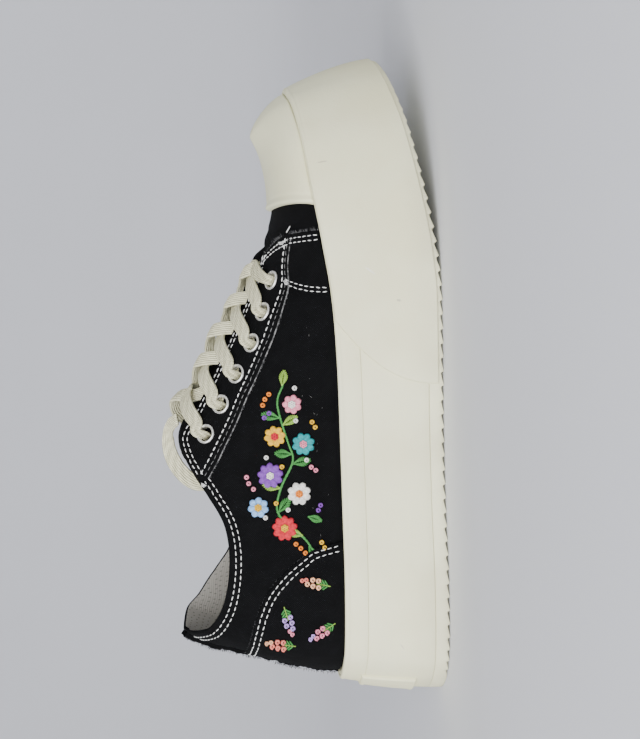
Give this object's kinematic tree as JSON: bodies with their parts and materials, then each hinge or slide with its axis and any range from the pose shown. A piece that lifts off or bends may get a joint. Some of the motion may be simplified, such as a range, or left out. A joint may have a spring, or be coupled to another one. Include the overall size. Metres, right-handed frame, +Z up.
{
  "type": "platform sneaker",
  "caption": "Low lace-up platform sneaker for the right foot: canvas upper, rubber toe cap, thick flat sole with a saw-toothed edge.",
  "frame": {"origin": "centre of the shoe's footprint, on the plane that the sole stands on", "axes": "+X from heel to toe, +Y to the inner (medial) side of the right foot, +Z up"},
  "size_m": [0.2766, 0.105, 0.1211],
  "materials": {
    "cream_rubber": "matt",
    "black_canvas": "woven, matt",
    "insole_cloth": "woven, matt",
    "eyelet_enamel": "satin",
    "cream_lace": "braided, matt"
  },
  "bodies": {
    "root": {"outsole": "cream_rubber", "midsole": "cream_rubber", "foxing": "cream_rubber", "toe_bumper": "cream_rubber", "heel_plate": "cream_rubber", "toe_cap": "cream_rubber", "upper": "black_canvas", "tongue": "black_canvas", "eyestay_lateral": "black_canvas", "eyestay_medial": "black_canvas", "patch_lateral": "black_canvas", "patch_medial": "black_canvas", "counter_lateral": "black_canvas", "counter_medial": "black_canvas", "back_seam": "black_canvas", "insole": "insole_cloth", "eyelet_lateral_1": "eyelet_enamel", "eyelet_lateral_2": "eyelet_enamel", "eyelet_lateral_3": "eyelet_enamel", "eyelet_lateral_4": "eyelet_enamel", "eyelet_lateral_5": "eyelet_enamel", "eyelet_lateral_6": "eyelet_enamel", "eyelet_medial_1": "eyelet_enamel", "eyelet_medial_2": "eyelet_enamel", "eyelet_medial_3": "eyelet_enamel", "eyelet_medial_4": "eyelet_enamel", "eyelet_medial_5": "eyelet_enamel", "eyelet_medial_6": "eyelet_enamel", "vent_1": "eyelet_enamel", "vent_2": "eyelet_enamel", "lace": "cream_lace", "lace_loop": "cream_lace"}
  },
  "joints": []
}
